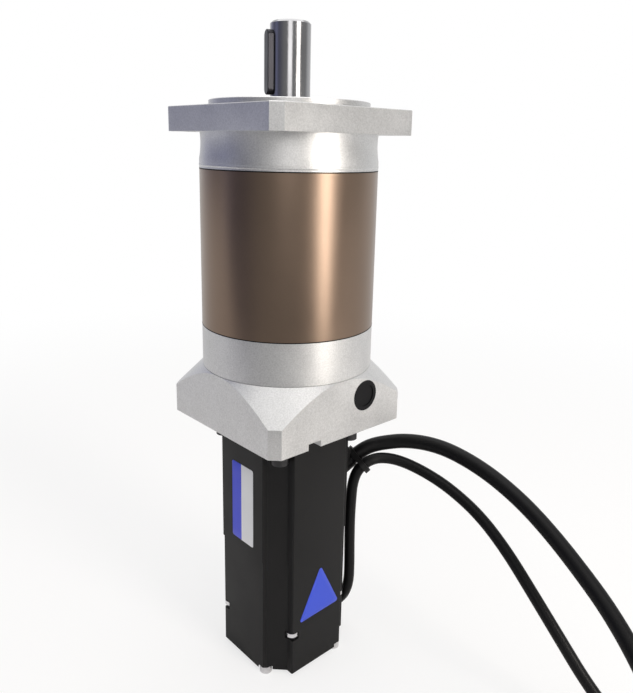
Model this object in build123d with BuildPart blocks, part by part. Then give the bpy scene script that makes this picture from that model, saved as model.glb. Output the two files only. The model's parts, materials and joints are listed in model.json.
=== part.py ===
"""Planetary gear servo motor: a 60 mm servo motor under a three-stage planetary gearbox with a 90 mm flange.

Millimetres. Z runs up the output shaft. Z = 0 is the surface that the motor's cover screws stand on, and the
origin lies on the shaft's axis. The -Y side carries the access plug, the +X side both leads.
"""
from build123d import *
from math import acos, cos, pi, radians, sin, sqrt, tan
import os

os.makedirs("parts", exist_ok=True)

# Square mounting flange, its pilot and the front housing
flange_corner_cut = 4.6
flange_thickness = 12.0
pilot_diameter = 80.0
pilot_height = 3.0
mount_circle_diameter = 100.0
mount_hole_diameter = 6.5
neck_height = 17.5
neck_step = 0.5
neck_waist_depth = 0.25
neck_rim_height = 4.6
spigot_wall = 6.0
edge_break = 0.3

# Output shaft and its key
shaft_diameter = 20.0
shaft_length = 40.0
shaft_end_chamfer = 1.0
shaft_tap_diameter = 5.0
shaft_tap_depth = 16.0
key_width = 6.0
key_height = 6.0
key_seat_depth = 3.5
key_end_distance = 4.0
key_root_distance = 6.0
key_angle = 160.0
seal_journal_diameter = 28.0
seal_outer_diameter = 40.0
seal_width = 7.0
seal_recess = 1.0
seal_lip_clearance = 0.05

# Bearings: bore, outer diameter, width, ball diameter, number of balls
output_bearing = (30.0, 55.0, 13.0, 7.9, 10)
input_bearing = (20.0, 42.0, 12.0, 6.9, 9)
motor_front_bearing = (17.0, 35.0, 10.0, 5.6, 9)
motor_rear_bearing = (12.0, 28.0, 8.0, 4.8, 8)
race_clearance = 0.06
output_bearing_spacing = 6.0
bearing_shoulder = 1.0
input_bearing_gap = 3.0

# Gearing: 25 degree pressure angle, three planets in each stage, 8 x 5 x 5 = 200 to 1
pressure_angle = radians(25.0)
fine_module = 0.8
fine_ring_teeth = 84
fine_planet_teeth = 36
coarse_module = 1.5
coarse_ring_teeth = 48
coarse_planet_teeth = 18
sun_teeth = 12
ring_addendum = 0.9
addendum = 1.0
dedendum = 1.25
backlash = 0.1
planet_count = 3
first_planet_angle = 90.0
stage_gap = 1.0
# Front plate, planet width and rear plate of each carrier
third_stage_widths = (6.0, 15.0, 5.0)
second_stage_widths = (5.0, 13.0, 4.5)
first_stage_widths = (4.5, 9.0, 4.5)
planet_side_clearance = 0.5
planet_window_clearance = 0.8
sun_bore_clearance = 1.0
carrier_ring_clearance = 1.5
needle_clearance = 0.03
coarse_pin_diameter = 10.0
coarse_planet_bore = 14.0
fine_pin_diameter = 8.0
fine_planet_bore = 12.0
sun_stub_diameter = 13.0

# Gearbox housings
ring_wall = 7.125
carrier_drop = 2.0
lower_spigot_rim = 4.0
lower_spigot_height = 2.0
lower_recess_clearance = 1.62
lower_lip_diameter = 36.0
lower_lip_height = 5.0
housing_screw_edge = 4.0
housing_screw_diameter = 4.0
housing_screw_length = 34.0
housing_screw_head_diameter = 7.0
housing_screw_head_height = 4.0
housing_screw_recess = 5.0

# Motor adapter and its access plug
adapter_height = 30.5
adapter_cone_angle = radians(45.0)
adapter_ledge = 1.0
adapter_slot_width = 8.1
adapter_slot_height = 3.3
adapter_slot_left = 23.5
adapter_screw_edge = 6.5
adapter_screw_diameter = 5.0
adapter_screw_clearance_hole = 5.5
adapter_screw_length = 36.0
adapter_screw_head_diameter = 8.5
adapter_screw_head_height = 5.0
adapter_screw_recess_diameter = 9.4
adapter_screw_recess_depth = 6.0
plug_below_top = 11.1
plug_diameter = 16.2
plug_length = 7.0
plug_clearance = 0.05
plug_dish_diameter = 12.0
plug_dish_depth = 0.6
access_hole_diameter = 12.0

# Input hub with its clamp collar
hub_collar_clearance = 2.0
hub_collar_height = 14.0
hub_slit = 1.5
hub_shoulder_diameter = 28.0
hub_bore_end_gap = 1.0
clamp_screw_diameter = 5.0
clamp_screw_set_in = 7.2
clamp_screw_head_diameter = 8.5
clamp_screw_head_height = 5.0
clamp_screw_head_seat = 8.0
clamp_screw_length = 20.0
clamp_screw_tip_gap = 2.0
clamp_screw_head_clearance = 0.25
socket_diameter = 4.6
socket_depth = 2.5

# Servo motor
motor_size = 60.0
motor_length = 141.0
motor_flange_thickness = 9.0
motor_flange_cut = 3.13
motor_pilot_diameter = 50.0
motor_pilot_height = 3.0
motor_pilot_gap = 1.0
motor_spigot_height = 5.0
motor_shaft_diameter = 14.0
motor_shaft_length = 30.0
motor_shaft_clearance = 2.0
motor_wall = 3.0
motor_screw_edge = 5.25
motor_screw_diameter = 5.0
motor_screw_clearance_hole = 5.5
motor_screw_head_diameter = 8.5
motor_screw_head_height = 5.0
motor_screw_length = 21.0
motor_screw_thread_depth = 13.0
motor_screw_pocket_diameter = 9.2
flat_end_inset = 12.5
front_step_inset = 10.6
rear_step_inset = 10.7
corner_floor_depth = 11.03
rear_section_height = 68.0
rear_section_inset = 0.4
cover_height = 25.4
cover_wall = 6.0
cover_floor = 2.5
edge_radius = 0.6

# Motor screws seen from outside
cover_screw_insets = (3.8, 14.2)
cover_screw_diameter = 3.0
cover_screw_head_diameter = 6.6
cover_screw_head_height = 4.0
cover_screw_head_proud = 2.0
cover_pocket_diameter = 8.4
cover_screw_thread = 8.0
seam_screw_insets = (3.2, 13.1)
seam_screw_diameter = 3.0
seam_screw_head_diameter = 6.4
seam_screw_head_height = 2.3
seam_screw_length = 20.0
seam_pocket_diameter = 7.4
seam_pocket_depth = 4.6

# Stator, windings, rotor and encoder
air_gap = 0.8
stator_bottom_gap = 26.6
stator_top_gap = 20.0
slot_count = 12
slot_width = 6.0
slot_depth = 5.5
slot_set_in = 1.75
slot_liner = 0.25
winding_inner_gap = 2.0
winding_outer_gap = 1.5
winding_overhang = 9.0
rotor_core_inner = 16.0
rotor_core_outer = 22.0
rotor_overhang = 2.0
magnet_count = 8
magnet_outer = 30.4
magnet_arc = 41.0
rotor_shoulder_diameter = 21.0
rotor_shoulder_height = 4.0
rear_bell_thickness = 10.0
rear_bell_lip = 2.0
rear_bell_hole = 18.0
rear_tail_diameter = 8.0
rear_tail_length = 9.0
board_post_inset = 4.0
board_post_diameter = 5.0
board_post_length = 10.0
board_thickness = 1.6
board_gap = 1.0
board_hole = 12.0
disc_diameter = 26.0
disc_thickness = 1.5
disc_hub_diameter = 13.0
disc_hub_length = 4.0

# Leads, glands, tie and connectors
power_lead_diameter = 8.5
encoder_lead_diameter = 6.3
power_gland_centre = (-6.0, 111.0)
power_gland_base = (16.0, 26.0)
power_gland_end_centre = (-6.2, 107.0)
power_gland_end = (14.6, 15.0)
power_gland_height = 8.0
power_sleeve_diameter = 9.6
power_sleeve_length = 7.0
encoder_boot_size = (7.8, 6.5, 7.4)
tie_clearance = 0.5
tie_thickness = 1.3
tie_width = 3.0
connector_edge = 1.0
power_connector_size = (30.0, 20.0, 15.0)
encoder_connector_size = (26.0, 17.0, 12.0)
connector_tail_length = 9.0
connector_tail_wall = 1.6

# Free routes of the leads, points chosen by hand
power_route = [
    (41.4, -11.2, 106.6),
    (45.9, -14.0, 110.9),
    (51.2, -17.4, 114.0),
    (56.9, -22.3, 115.9),
    (64.4, -32.2, 118.6),
    (70.6, -45.8, 119.5),
    (74.6, -60.6, 118.0),
    (76.2, -81.9, 113.5),
    (75.9, -103.8, 105.7),
    (73.5, -123.5, 96.5),
    (69.8, -143.0, 85.9),
    (64.8, -160.0, 77.0),
    (58.5, -177.0, 65.5),
    (51.0, -194.0, 50.5),
    (42.5, -210.0, 34.0),
    (32.0, -225.0, 18.0),
    (18.0, -238.0, 7.0),
    (1.0, -247.0, 4.3),
    (-17.0, -251.0, 4.6),
    (-35.0, -250.0, 7.5),
]
encoder_route = [
    (34.0, -8.0, 10.5),
    (34.0, -12.1, 15.2),
    (34.5, -16.4, 22.0),
    (35.0, -18.6, 30.5),
    (35.2, -18.5, 42.0),
    (35.2, -17.8, 58.0),
    (35.2, -17.5, 74.0),
    (35.3, -17.9, 86.0),
    (35.9, -18.0, 94.6),
    (38.3, -18.9, 102.4),
    (44.3, -21.7, 107.9),
    (52.2, -25.2, 109.0),
    (60.4, -33.3, 107.3),
    (66.3, -48.8, 103.1),
    (70.1, -64.5, 97.2),
    (71.4, -83.0, 88.8),
    (70.4, -101.3, 76.8),
    (69.0, -118.9, 61.7),
    (68.6, -136.9, 44.6),
    (69.6, -152.4, 28.2),
    (72.5, -168.0, 14.0),
    (75.5, -186.0, 5.0),
    (75.5, -205.0, 3.2),
    (70.0, -222.0, 3.4),
    (60.0, -236.0, 6.0),
]
tie_run = 9
tie_share = 0.55

# Sizes across the housings, from the coarse ring gear and its wall
coarse_ring_root = coarse_module * (coarse_ring_teeth / 2 + dedendum)
gearbox_diameter = 2 * (coarse_ring_root + ring_wall)
flange_size = gearbox_diameter
neck_diameter = gearbox_diameter - 2 * neck_step
neck_waist_diameter = neck_diameter - 2 * neck_waist_depth
spigot_diameter = gearbox_diameter - 2 * spigot_wall
first_carrier_radius = fine_module * (fine_ring_teeth / 2 - ring_addendum) - carrier_ring_clearance
lower_recess_diameter = 2 * (first_carrier_radius + lower_recess_clearance)
lower_spigot_diameter = lower_recess_diameter + 2 * lower_spigot_rim
housing_screw_circle = gearbox_diameter - 2 * housing_screw_edge
adapter_screw_circle = gearbox_diameter - 2 * adapter_screw_edge
adapter_cavity_diameter = motor_pilot_diameter - 2 * adapter_ledge
hub_collar_diameter = adapter_cavity_diameter - 2 * hub_collar_clearance
plug_across = hub_collar_diameter / 2 - clamp_screw_set_in

# Sizes across the motor
motor_half = motor_size / 2
rear_half = motor_half - rear_section_inset
motor_bore = motor_size - 2 * motor_wall
motor_screw_place = motor_half - motor_screw_edge
cover_cavity_diameter = motor_size - 2 * cover_wall
cover_screw_place = (motor_half - cover_screw_insets[0], motor_half - cover_screw_insets[1])
seam_screw_place = (motor_half - seam_screw_insets[0], seam_screw_insets[1] - motor_half)
stator_bore = magnet_outer + 2 * air_gap
slot_mid_radius = stator_bore / 2 + slot_set_in + slot_depth / 2
winding_inner_diameter = stator_bore + 2 * winding_inner_gap
winding_outer_diameter = motor_bore - 2 * winding_outer_gap
board_outer = cover_cavity_diameter - 2 * board_gap
board_post_circle = board_outer - 2 * board_post_inset

# Lengths that others give
key_length = shaft_length - key_end_distance - key_root_distance
gear_train_length = (sum(third_stage_widths) + sum(second_stage_widths) + sum(first_stage_widths)
                     + 6 * planet_side_clearance + 2 * stage_gap)
output_bearing_stack = (seal_recess + seal_width + 2 * bearing_shoulder + 2 * output_bearing[2]
                        + output_bearing_spacing)
ring_gear_length = (output_bearing_stack + gear_train_length - carrier_drop
                    - pilot_height - flange_thickness - neck_height)
lower_ring_height = lower_lip_height + input_bearing[2] + input_bearing_gap + carrier_drop
stator_length = motor_length - cover_height - motor_flange_thickness - stator_bottom_gap - stator_top_gap

# Heights that the stack of housings gives
z_cover = cover_screw_head_proud
z_seam = z_cover + cover_height
z_adapter = z_cover + motor_length
z_lower_ring = z_adapter + adapter_height
z_ring_gear = z_lower_ring + lower_ring_height
z_neck = z_ring_gear + ring_gear_length
z_flange = z_neck + neck_height
z_face = z_flange + flange_thickness
z_pilot = z_face + pilot_height
z_shaft_end = z_face + shaft_length
z_motor_flange = z_adapter - motor_flange_thickness

# Heights inside the front housing
z_seal_top = z_pilot - seal_recess
z_seal_bottom = z_seal_top - seal_width
z_front_bearing_top = z_seal_bottom - bearing_shoulder
z_front_bearing_bottom = z_front_bearing_top - output_bearing[2]
z_rear_bearing_top = z_front_bearing_bottom - output_bearing_spacing
z_rear_bearing_bottom = z_rear_bearing_top - output_bearing[2]
z_spigot_bottom = z_rear_bearing_bottom - bearing_shoulder / 2


class Stage:
    """Heights and gear sizes of one planetary stage, counted down from the top of its carrier."""

    def __init__(self, top, module, ring_teeth, planet_teeth, front_plate, planet_face, rear_plate,
                 pin_diameter, planet_bore):
        self.module = module
        self.ring_teeth = ring_teeth
        self.planet_teeth = planet_teeth
        self.top = top
        self.window_top = top - front_plate
        self.planet_top = self.window_top - planet_side_clearance
        self.planet_bottom = self.planet_top - planet_face
        self.window_bottom = self.planet_bottom - planet_side_clearance
        self.bottom = self.window_bottom - rear_plate
        self.centre_distance = module * (sun_teeth + planet_teeth) / 2
        self.planet_tip = module * (planet_teeth / 2 + addendum)
        self.sun_tip = module * (sun_teeth / 2 + addendum)
        self.ring_tip = module * (ring_teeth / 2 - ring_addendum)
        self.carrier_radius = self.ring_tip - carrier_ring_clearance
        self.sun_bore = self.sun_tip + sun_bore_clearance
        self.pin_radius = pin_diameter / 2
        self.planet_bore_radius = planet_bore / 2
        self.pin_depth = 0.8 * front_plate
        self.planet_angles = [first_planet_angle + 360.0 * k / planet_count for k in range(planet_count)]


stage_3 = Stage(z_rear_bearing_bottom - bearing_shoulder, coarse_module, coarse_ring_teeth, coarse_planet_teeth,
                *third_stage_widths, coarse_pin_diameter, coarse_planet_bore)
stage_2 = Stage(stage_3.bottom - stage_gap, coarse_module, coarse_ring_teeth, coarse_planet_teeth,
                *second_stage_widths, coarse_pin_diameter, coarse_planet_bore)
stage_1 = Stage(stage_2.bottom - stage_gap, fine_module, fine_ring_teeth, fine_planet_teeth,
                *first_stage_widths, fine_pin_diameter, fine_planet_bore)
z_fine_top = stage_1.top + stage_gap / 2
z_input_bearing_top = stage_1.bottom - input_bearing_gap
z_input_bearing_bottom = z_input_bearing_top - input_bearing[2]
z_lower_recess = stage_1.bottom - stage_gap


def section(*points):
    """A closed outline of (radius, height) points in the XZ plane, to be revolved about Z."""
    with BuildSketch(Plane.XZ) as profile:
        with BuildLine():
            Polyline(*points, close=True)
        make_face()
    return profile.sketch


def tube_section(inner_diameter, outer_diameter, bottom, top):
    """The rectangle that revolves into a tube."""
    inner, outer = inner_diameter / 2, outer_diameter / 2
    return section((inner, bottom), (outer, bottom), (outer, top), (inner, top))


def save(piece, name):
    """Labels a finished piece and writes it to its own file."""
    piece.part.label = name
    export_step(piece.part, f"parts/{name}.step")


def quarter_turns(place):
    """A place in the XY plane and its three quarter turns about Z."""
    x, y = place
    return [(x, y), (-y, x), (-x, -y), (y, -x)]


def involute(angle):
    return tan(angle) - angle


def gear_outline(module, teeth, tip_radius, root_radius, thickening, turn=0.0):
    """Face of a spur gear: arcs through three points of each involute flank, with a tooth centred on turn.

    A ring gear's spaces have this shape too, with the ring's root as the tip and its tip as the root.
    """
    pitch_radius = module * teeth / 2
    base_radius = pitch_radius * cos(pressure_angle)
    flank_start = max(base_radius, root_radius)
    flank_middle = (flank_start + tip_radius) / 2

    def half_angle(radius):
        lean = acos(min(1.0, base_radius / radius))
        at_pitch = pi / (2 * teeth) + thickening / (2 * pitch_radius)
        return at_pitch + involute(pressure_angle) - involute(lean)

    def at(radius, angle):
        return (radius * cos(angle), radius * sin(angle))

    edges = []
    for tooth in range(teeth):
        centre = radians(turn) + 2 * pi * tooth / teeth
        valley = centre + pi / teeth
        following = centre + 2 * pi / teeth
        for side in (-1, 1):
            start = at(flank_start, centre + side * half_angle(flank_start))
            middle = at(flank_middle, centre + side * half_angle(flank_middle))
            tip = at(tip_radius, centre + side * half_angle(tip_radius))
            edges.append(Edge.make_three_point_arc(start, middle, tip))
            if root_radius < base_radius:
                foot = at(root_radius, centre + side * half_angle(flank_start))
                edges.append(Edge.make_line(foot, start))
        tip_half = half_angle(tip_radius)
        root_half = half_angle(flank_start)
        edges.append(Edge.make_three_point_arc(at(tip_radius, centre - tip_half), at(tip_radius, centre),
                                               at(tip_radius, centre + tip_half)))
        edges.append(Edge.make_three_point_arc(at(root_radius, centre + root_half), at(root_radius, valley),
                                               at(root_radius, following - root_half)))
    with BuildSketch() as outline:
        make_face(edges)
    return outline.sketch


def ring_spaces(stage):
    """Outline of the tooth spaces and the bore of a stage's ring gear, with a space centred on the +X axis."""
    ring_root = stage.module * (stage.ring_teeth / 2 + dedendum)
    return gear_outline(stage.module, stage.ring_teeth, ring_root, stage.ring_tip, backlash)


def planet_turn(stage, angle):
    """Turn, in degrees, that puts a planet's tooth in the ring space nearest to it."""
    return angle * (1 - stage.ring_teeth / stage.planet_teeth)


def sun_turn(stage):
    """Turn, in degrees, that puts the sun's teeth in the planets' spaces."""
    angle = stage.planet_angles[0]
    off_line = planet_turn(stage, angle) - angle - 180.0
    return angle - (stage.planet_teeth * off_line + 180.0) / sun_teeth


def sun_outline(stage):
    root = stage.module * (sun_teeth / 2 - dedendum)
    return gear_outline(stage.module, sun_teeth, stage.sun_tip, root, -backlash, sun_turn(stage))


def carrier_body(stage):
    """A carrier's body: two plates joined by bridges, with open windows for the planets and a bore below."""
    with BuildPart() as body:
        revolve(tube_section(0, 2 * stage.carrier_radius, stage.bottom, stage.top))
        with BuildSketch(Plane.XY.offset(stage.window_bottom)):
            with PolarLocations(stage.centre_distance, planet_count, start_angle=first_planet_angle):
                Circle(stage.planet_tip + planet_window_clearance)
        extrude(amount=stage.window_top - stage.window_bottom, mode=Mode.SUBTRACT)
        with BuildSketch(Plane.XY.offset(stage.bottom)):
            Circle(stage.sun_bore)
        extrude(amount=stage.window_top - stage.bottom, mode=Mode.SUBTRACT)
        with BuildSketch(Plane.XY.offset(stage.bottom)):
            with PolarLocations(stage.centre_distance, planet_count, start_angle=first_planet_angle):
                Circle(stage.pin_radius)
        extrude(amount=stage.window_top + stage.pin_depth - stage.bottom, mode=Mode.SUBTRACT)
    return body.part


def save_pins(stage, number):
    """The stage's planet pins, each with the needle sleeve that its planet turns on."""
    with BuildPart() as pins:
        with BuildSketch(Plane.XY.offset(stage.bottom)):
            with PolarLocations(stage.centre_distance, planet_count, start_angle=first_planet_angle):
                Circle(stage.pin_radius)
        extrude(amount=stage.window_top + stage.pin_depth - stage.bottom)
        with BuildSketch(Plane.XY.offset(stage.planet_bottom)):
            with PolarLocations(stage.centre_distance, planet_count, start_angle=first_planet_angle):
                Circle(stage.planet_bore_radius - needle_clearance)
                Circle(stage.pin_radius + needle_clearance, mode=Mode.SUBTRACT)
        extrude(amount=stage.planet_top - stage.planet_bottom)
    save(pins, f"planet_pins_{number}")


def save_planets(stage, number):
    """The stage's three planet gears, each in its own file."""
    root = stage.module * (stage.planet_teeth / 2 - dedendum)
    for letter, angle in zip("abc", stage.planet_angles):
        centre_x = stage.centre_distance * cos(radians(angle))
        centre_y = stage.centre_distance * sin(radians(angle))
        outline = gear_outline(stage.module, stage.planet_teeth, stage.planet_tip, root, -backlash,
                               planet_turn(stage, angle))
        with BuildPart() as planet:
            with BuildSketch(Plane((centre_x, centre_y, stage.planet_bottom))):
                add(outline)
                Circle(stage.planet_bore_radius, mode=Mode.SUBTRACT)
            extrude(amount=stage.planet_top - stage.planet_bottom)
        save(planet, f"planet_{number}{letter}")


def save_bearing(sizes, bottom, name):
    """A ball bearing: the outer ring in one file, the inner ring with its balls in another."""
    bore, outer, width, ball_diameter, ball_count = sizes
    pitch_radius = (bore + outer) / 4
    land = 0.62 * ball_diameter / 2
    middle = bottom + width / 2
    groove_radius = ball_diameter / 2 + race_clearance
    with BuildPart() as outer_ring:
        revolve(tube_section(2 * (pitch_radius + land), outer, bottom, bottom + width))
        with BuildSketch(Plane.XZ):
            with Locations((pitch_radius, middle)):
                Circle(groove_radius)
        revolve(axis=Axis.Z, mode=Mode.SUBTRACT)
    save(outer_ring, f"{name}_outer")
    with BuildPart() as inner_ring:
        revolve(tube_section(bore, 2 * (pitch_radius - land), bottom, bottom + width))
        with BuildSketch(Plane.XZ):
            with Locations((pitch_radius, middle)):
                Circle(groove_radius)
        revolve(axis=Axis.Z, mode=Mode.SUBTRACT)
        with Locations((0, 0, middle)):
            with PolarLocations(pitch_radius, ball_count):
                Sphere(ball_diameter / 2)
    save(inner_ring, f"{name}_inner")


def save_socket_screws(places, head_bottom, head_diameter, head_height, diameter, length, name):
    """Socket head screws that point up: the head below, its socket open downwards, the shank above."""
    with BuildPart() as screws:
        with BuildSketch(Plane.XY.offset(head_bottom)):
            with Locations(*places):
                Circle(head_diameter / 2)
        extrude(amount=head_height)
        with BuildSketch(Plane.XY.offset(head_bottom)):
            with Locations(*places):
                RegularPolygon(0.31 * head_diameter, 6)
        extrude(amount=0.5 * head_height, mode=Mode.SUBTRACT)
        with BuildSketch(Plane.XY.offset(head_bottom + head_height)):
            with Locations(*places):
                Circle(diameter / 2)
        extrude(amount=length)
    save(screws, name)


# Front housing: flange, pilot and neck, bored for the seal and both output bearings
mount_place = mount_circle_diameter / 2 * cos(radians(45))
with BuildPart() as front_housing:
    with BuildSketch(Plane.XY.offset(z_flange)) as flange_square:
        Rectangle(flange_size, flange_size)
        chamfer(flange_square.vertices(), flange_corner_cut)
    extrude(amount=flange_thickness)
    chamfer(front_housing.edges().group_by(Axis.Z)[-1], edge_break)
    with BuildSketch(Plane.XZ):
        with BuildLine():
            rim_top = (gearbox_diameter / 2, z_neck + neck_rim_height)
            neck_top = (neck_diameter / 2, z_flange)
            Polyline((0, z_flange), (0, z_spigot_bottom), (spigot_diameter / 2, z_spigot_bottom),
                     (spigot_diameter / 2, z_neck), (gearbox_diameter / 2 - edge_break, z_neck),
                     (gearbox_diameter / 2, z_neck + edge_break), rim_top)
            ThreePointArc(rim_top, (neck_waist_diameter / 2, (rim_top[1] + z_flange) / 2), neck_top)
            Line(neck_top, (0, z_flange))
        make_face()
    revolve(axis=Axis.Z)
    pilot_edge = pilot_diameter / 2
    revolve(section((0, z_face), (pilot_edge, z_face), (pilot_edge, z_pilot - edge_break),
                    (pilot_edge - edge_break, z_pilot), (0, z_pilot)), axis=Axis.Z)
    revolve(tube_section(0, seal_outer_diameter, z_front_bearing_top - edge_break, z_pilot),
            axis=Axis.Z, mode=Mode.SUBTRACT)
    revolve(tube_section(0, output_bearing[1], z_spigot_bottom, z_front_bearing_top),
            axis=Axis.Z, mode=Mode.SUBTRACT)
    with Locations((0, 0, z_face)):
        with GridLocations(2 * mount_place, 2 * mount_place, 2, 2):
            Hole(mount_hole_diameter / 2)
save(front_housing, "front_housing")

# Shaft seal: a rubber ring whose lip runs on the seal journal
with BuildPart() as output_seal:
    lip = seal_journal_diameter / 2 + seal_lip_clearance
    lip_waist = lip + 2.5
    revolve(section((lip, z_seal_top - 1.5), (lip_waist, z_seal_top - 3.0), (lip_waist, z_seal_bottom),
                    (seal_outer_diameter / 2, z_seal_bottom), (seal_outer_diameter / 2, z_seal_top),
                    (lip + 1.0, z_seal_top)), axis=Axis.Z)
save(output_seal, "output_seal")

save_bearing(output_bearing, z_front_bearing_bottom, "output_bearing_front")
save_bearing(output_bearing, z_rear_bearing_bottom, "output_bearing_rear")

# Spacer between the outer rings of the output bearings
spacer_wall = 3.0
with BuildPart() as outer_spacer:
    revolve(tube_section(output_bearing[1] - 2 * spacer_wall, output_bearing[1], z_rear_bearing_top,
                         z_front_bearing_bottom))
save(outer_spacer, "outer_spacer")

# Spacer between the inner rings
with BuildPart() as inner_spacer:
    revolve(tube_section(output_bearing[0], output_bearing[0] + 2 * spacer_wall, z_rear_bearing_top,
                         z_front_bearing_bottom))
save(inner_spacer, "inner_spacer")

# Output shaft in one piece with the third carrier
key_top = z_shaft_end - key_end_distance
key_middle = key_top - key_length / 2
key_seat = shaft_diameter / 2 - key_seat_depth
key_plane = Plane(Location((0, 0, key_middle), (0, 0, key_angle)) * Location((key_seat, 0, 0), (0, 90, 0)))
carrier_3_body = carrier_body(stage_3)
with BuildPart() as output_shaft:
    add(carrier_3_body)
    bearing_journal = output_bearing[0] / 2
    shaft_radius = shaft_diameter / 2
    z_journal_end = z_seal_top + seal_recess / 2
    revolve(section((0, stage_3.top - bearing_shoulder), (bearing_journal + 2.5, stage_3.top - bearing_shoulder),
                    (bearing_journal + 2.5, z_rear_bearing_bottom), (bearing_journal, z_rear_bearing_bottom),
                    (bearing_journal, z_front_bearing_top), (seal_journal_diameter / 2, z_front_bearing_top),
                    (seal_journal_diameter / 2, z_journal_end), (shaft_radius, z_journal_end),
                    (shaft_radius, z_shaft_end - shaft_end_chamfer),
                    (shaft_radius - shaft_end_chamfer, z_shaft_end), (0, z_shaft_end)), axis=Axis.Z)
    with Locations((0, 0, z_shaft_end)):
        CounterSinkHole(shaft_tap_diameter / 2, 0.6 * shaft_tap_diameter, shaft_tap_depth)
    with BuildSketch(key_plane):
        SlotOverall(key_length, key_width)
    extrude(amount=shaft_diameter, mode=Mode.SUBTRACT)
save(output_shaft, "output_shaft")

# Parallel key with round ends, seated in the shaft
with BuildPart() as output_key:
    with BuildSketch(key_plane):
        SlotOverall(key_length, key_width)
    extrude(amount=key_height)
    chamfer(output_key.faces().sort_by(Axis(key_plane.origin, key_plane.z_dir))[-1].edges(), edge_break)
save(output_key, "output_key")

save_pins(stage_3, 3)
save_planets(stage_3, 3)

# Second carrier, and the sun of the third stage pressed into it
carrier_2_body = carrier_body(stage_2)
with BuildPart() as carrier_2:
    add(carrier_2_body)
    with BuildSketch(Plane.XY.offset(stage_2.top)):
        Circle(sun_stub_diameter / 2)
    extrude(amount=-(stage_2.top - stage_2.window_top), mode=Mode.SUBTRACT)
save(carrier_2, "carrier_2")

with BuildPart() as sun_gear_3:
    with BuildSketch(Plane.XY.offset(stage_2.top)):
        add(sun_outline(stage_3))
    extrude(amount=stage_3.planet_top - stage_2.top)
    with BuildSketch(Plane.XY.offset(stage_2.window_top)):
        Circle(sun_stub_diameter / 2)
    extrude(amount=stage_2.top - stage_2.window_top)
save(sun_gear_3, "sun_gear_3")

save_pins(stage_2, 2)
save_planets(stage_2, 2)

# First carrier, and the sun of the second stage pressed into it
carrier_1_body = carrier_body(stage_1)
with BuildPart() as carrier_1:
    add(carrier_1_body)
    with BuildSketch(Plane.XY.offset(stage_1.top)):
        Circle(sun_stub_diameter / 2)
    extrude(amount=-(stage_1.top - stage_1.window_top), mode=Mode.SUBTRACT)
save(carrier_1, "carrier_1")

with BuildPart() as sun_gear_2:
    with BuildSketch(Plane.XY.offset(stage_1.top)):
        add(sun_outline(stage_2))
    extrude(amount=stage_2.planet_top - stage_1.top)
    with BuildSketch(Plane.XY.offset(stage_1.window_top)):
        Circle(sun_stub_diameter / 2)
    extrude(amount=stage_1.top - stage_1.window_top)
save(sun_gear_2, "sun_gear_2")

save_pins(stage_1, 1)
save_planets(stage_1, 1)

# Ring gear housing: coarse teeth for stages 3 and 2, fine teeth for stage 1
housing_screw_angle = 45.0
housing_screw_top = z_lower_ring + housing_screw_recess + housing_screw_length
with BuildPart() as ring_gear_housing:
    outer = gearbox_diameter / 2
    revolve(section((0, z_ring_gear), (outer - edge_break, z_ring_gear), (outer, z_ring_gear + edge_break),
                    (outer, z_neck - edge_break), (outer - edge_break, z_neck), (0, z_neck)), axis=Axis.Z)
    revolve(tube_section(0, spigot_diameter, z_spigot_bottom - bearing_shoulder / 2, z_neck),
            axis=Axis.Z, mode=Mode.SUBTRACT)
    revolve(tube_section(0, lower_spigot_diameter, z_ring_gear, z_ring_gear + lower_spigot_height),
            axis=Axis.Z, mode=Mode.SUBTRACT)
    with BuildSketch(Plane.XY.offset(z_fine_top)):
        add(ring_spaces(stage_3))
    extrude(amount=z_spigot_bottom - z_fine_top, mode=Mode.SUBTRACT)
    with BuildSketch(Plane.XY.offset(z_ring_gear)):
        add(ring_spaces(stage_1))
    extrude(amount=z_fine_top - z_ring_gear, mode=Mode.SUBTRACT)
    with BuildSketch(Plane.XY.offset(z_ring_gear)):
        with PolarLocations(housing_screw_circle / 2, 4, start_angle=housing_screw_angle):
            Circle(housing_screw_diameter / 2)
    extrude(amount=housing_screw_top - z_ring_gear, mode=Mode.SUBTRACT)
save(ring_gear_housing, "ring_gear_housing")

# Lower ring: carries the input bearing and closes the gear room
adapter_screw_top = z_adapter + adapter_screw_recess_depth + adapter_screw_length
with BuildPart() as lower_ring:
    revolve(section((0, z_lower_ring), (outer - edge_break, z_lower_ring), (outer, z_lower_ring + edge_break),
                    (outer, z_ring_gear - edge_break), (outer - edge_break, z_ring_gear),
                    (lower_spigot_diameter / 2, z_ring_gear),
                    (lower_spigot_diameter / 2, z_ring_gear + lower_spigot_height),
                    (0, z_ring_gear + lower_spigot_height)), axis=Axis.Z)
    revolve(tube_section(0, lower_recess_diameter, z_lower_recess, z_ring_gear + lower_spigot_height),
            axis=Axis.Z, mode=Mode.SUBTRACT)
    revolve(tube_section(0, input_bearing[1], z_input_bearing_bottom, z_lower_recess),
            axis=Axis.Z, mode=Mode.SUBTRACT)
    revolve(tube_section(0, lower_lip_diameter, z_lower_ring, z_input_bearing_bottom),
            axis=Axis.Z, mode=Mode.SUBTRACT)
    with BuildSketch(Plane.XY.offset(z_lower_ring)):
        with PolarLocations(housing_screw_circle / 2, 4, start_angle=housing_screw_angle):
            Circle(housing_screw_diameter / 2)
    extrude(amount=lower_ring_height, mode=Mode.SUBTRACT)
    with BuildSketch(Plane.XY.offset(z_lower_ring)):
        with PolarLocations(housing_screw_circle / 2, 4, start_angle=housing_screw_angle):
            Circle(housing_screw_head_diameter / 2)
    extrude(amount=housing_screw_recess, mode=Mode.SUBTRACT)
    with BuildSketch(Plane.XY.offset(z_lower_ring)):
        with PolarLocations(adapter_screw_circle / 2, 4):
            Circle(adapter_screw_diameter / 2)
    extrude(amount=adapter_screw_top - z_lower_ring, mode=Mode.SUBTRACT)
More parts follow.
